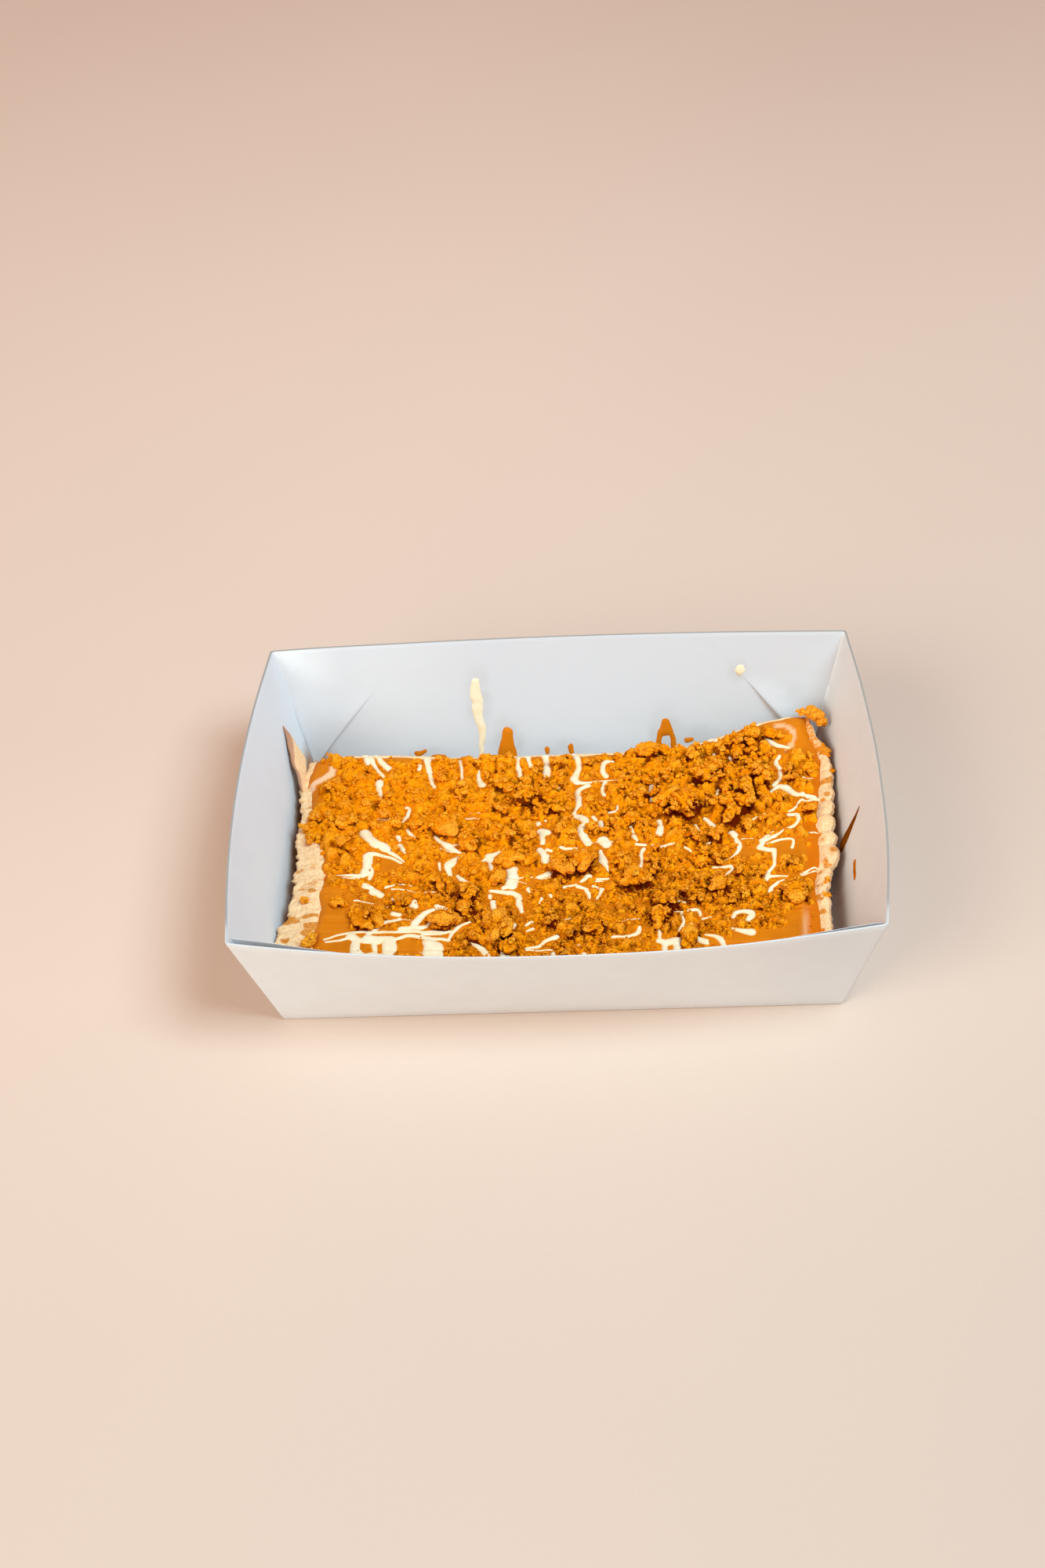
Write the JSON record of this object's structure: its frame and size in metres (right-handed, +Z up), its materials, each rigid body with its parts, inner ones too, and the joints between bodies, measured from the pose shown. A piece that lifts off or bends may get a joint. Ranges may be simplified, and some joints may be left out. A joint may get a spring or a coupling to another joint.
{
  "type": "crepe",
  "caption": "Folded dessert crepe cut into bites in an open paper tray, covered with caramel-coloured biscuit spread, white chocolate drizzle and a heap of biscuit crumbs.",
  "frame": {"origin": "on the table, under the centre of the paper tray", "axes": "+X along the tray's long side, -Y towards the diner, +Z up out of the tray"},
  "size_m": [0.209, 0.155, 0.046],
  "materials": {
    "paperboard": "satin",
    "crepe_dough": "matte",
    "caramel_spread": "gloss",
    "biscuit_crumbs": "matte",
    "white_chocolate": "gloss"
  },
  "bodies": {
    "root": {"paper_tray": "paperboard", "crepe": "crepe_dough", "caramel_spread": "caramel_spread", "biscuit_crumbs": "biscuit_crumbs"}
  },
  "joints": []
}
